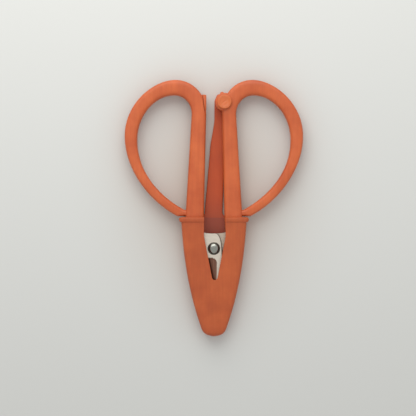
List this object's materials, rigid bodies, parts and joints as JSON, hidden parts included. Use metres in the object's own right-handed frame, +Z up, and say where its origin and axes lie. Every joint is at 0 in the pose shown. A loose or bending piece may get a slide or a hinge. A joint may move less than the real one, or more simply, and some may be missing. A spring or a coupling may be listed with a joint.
{
  "type": "fabric shears",
  "caption": "Small shears with moulded finger loops, steel blades on a rivet, and a push-on sheath whose hooked strap catches a button on the handle.",
  "frame": {"origin": "on the surface the shears lie on, under the middle of their box", "axes": "+Y towards the finger loops, -Y to the sheath's tip, +Z up out of the front face"},
  "size_m": [0.0698, 0.1, 0.0087],
  "materials": {
    "rivet_steel": "bright headed rivet, fine scratches",
    "blade_steel": "satin stainless, ground bevels polished darker",
    "handle_plastic": "moulded orange plastic, soft satin",
    "button_plastic": "moulded orange plastic, soft satin",
    "sheath_plastic": "moulded orange plastic, soft satin"
  },
  "bodies": {
    "pivot": {"pivot_rivet": "rivet_steel"},
    "left_half": {"left_handle": "handle_plastic", "front_blade": "blade_steel"},
    "right_half": {"right_handle": "handle_plastic", "rear_blade": "blade_steel", "strap_button": "button_plastic"},
    "cover": {"sheath": "sheath_plastic", "sheath_strap": "sheath_plastic"}
  },
  "joints": [
    {"name": "sheath_slide", "type": "slide", "parent": "pivot", "child": "cover", "axis": [0, -1, 0], "range_m": [0, 0.05]},
    {"name": "left_swing", "type": "hinge", "parent": "pivot", "child": "left_half", "pos_m": [0, -0.0158, 0.0042], "axis": [0, 0, 1], "range_deg": [0, 22.5]},
    {"name": "right_swing", "type": "hinge", "parent": "pivot", "child": "right_half", "pos_m": [0, -0.0158, 0.0042], "axis": [0, 0, -1], "range_deg": [0, 22.5]}
  ],
  "couplings": [
    {"joint": "left_swing", "follows": "sheath_slide", "rad_per_m": 7.85},
    {"joint": "right_swing", "follows": "sheath_slide", "rad_per_m": 7.85}
  ]
}
